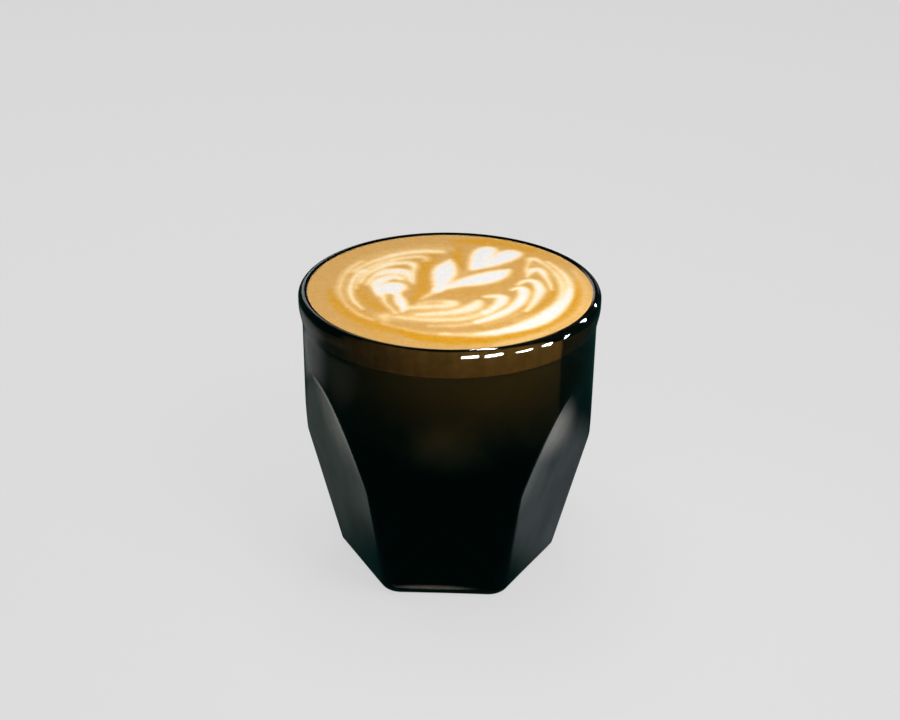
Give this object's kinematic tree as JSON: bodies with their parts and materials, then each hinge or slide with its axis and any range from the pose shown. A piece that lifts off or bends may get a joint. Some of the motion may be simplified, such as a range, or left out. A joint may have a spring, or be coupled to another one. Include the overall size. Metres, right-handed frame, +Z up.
{
  "type": "cortado in a faceted glass",
  "caption": "Small tumbler of thick smoked glass, round rim and hexagonal foot, filled level with the rim by espresso under milk foam with a poured leaf pattern.",
  "frame": {"origin": "centre of the foot, on the surface that the glass stands on", "axes": "+Z up along the glass's axis; one of the six flat sides faces -Y"},
  "size_m": [0.075, 0.075, 0.0754],
  "materials": {
    "smoked_glass": "polished smoke-grey pressed glass",
    "coffee": "smooth opaque brown liquid",
    "milk_foam": "fine golden crema with white milk foam, satin wet"
  },
  "bodies": {
    "root": {"glass": "smoked_glass", "coffee": "coffee", "foam": "milk_foam"}
  },
  "joints": []
}
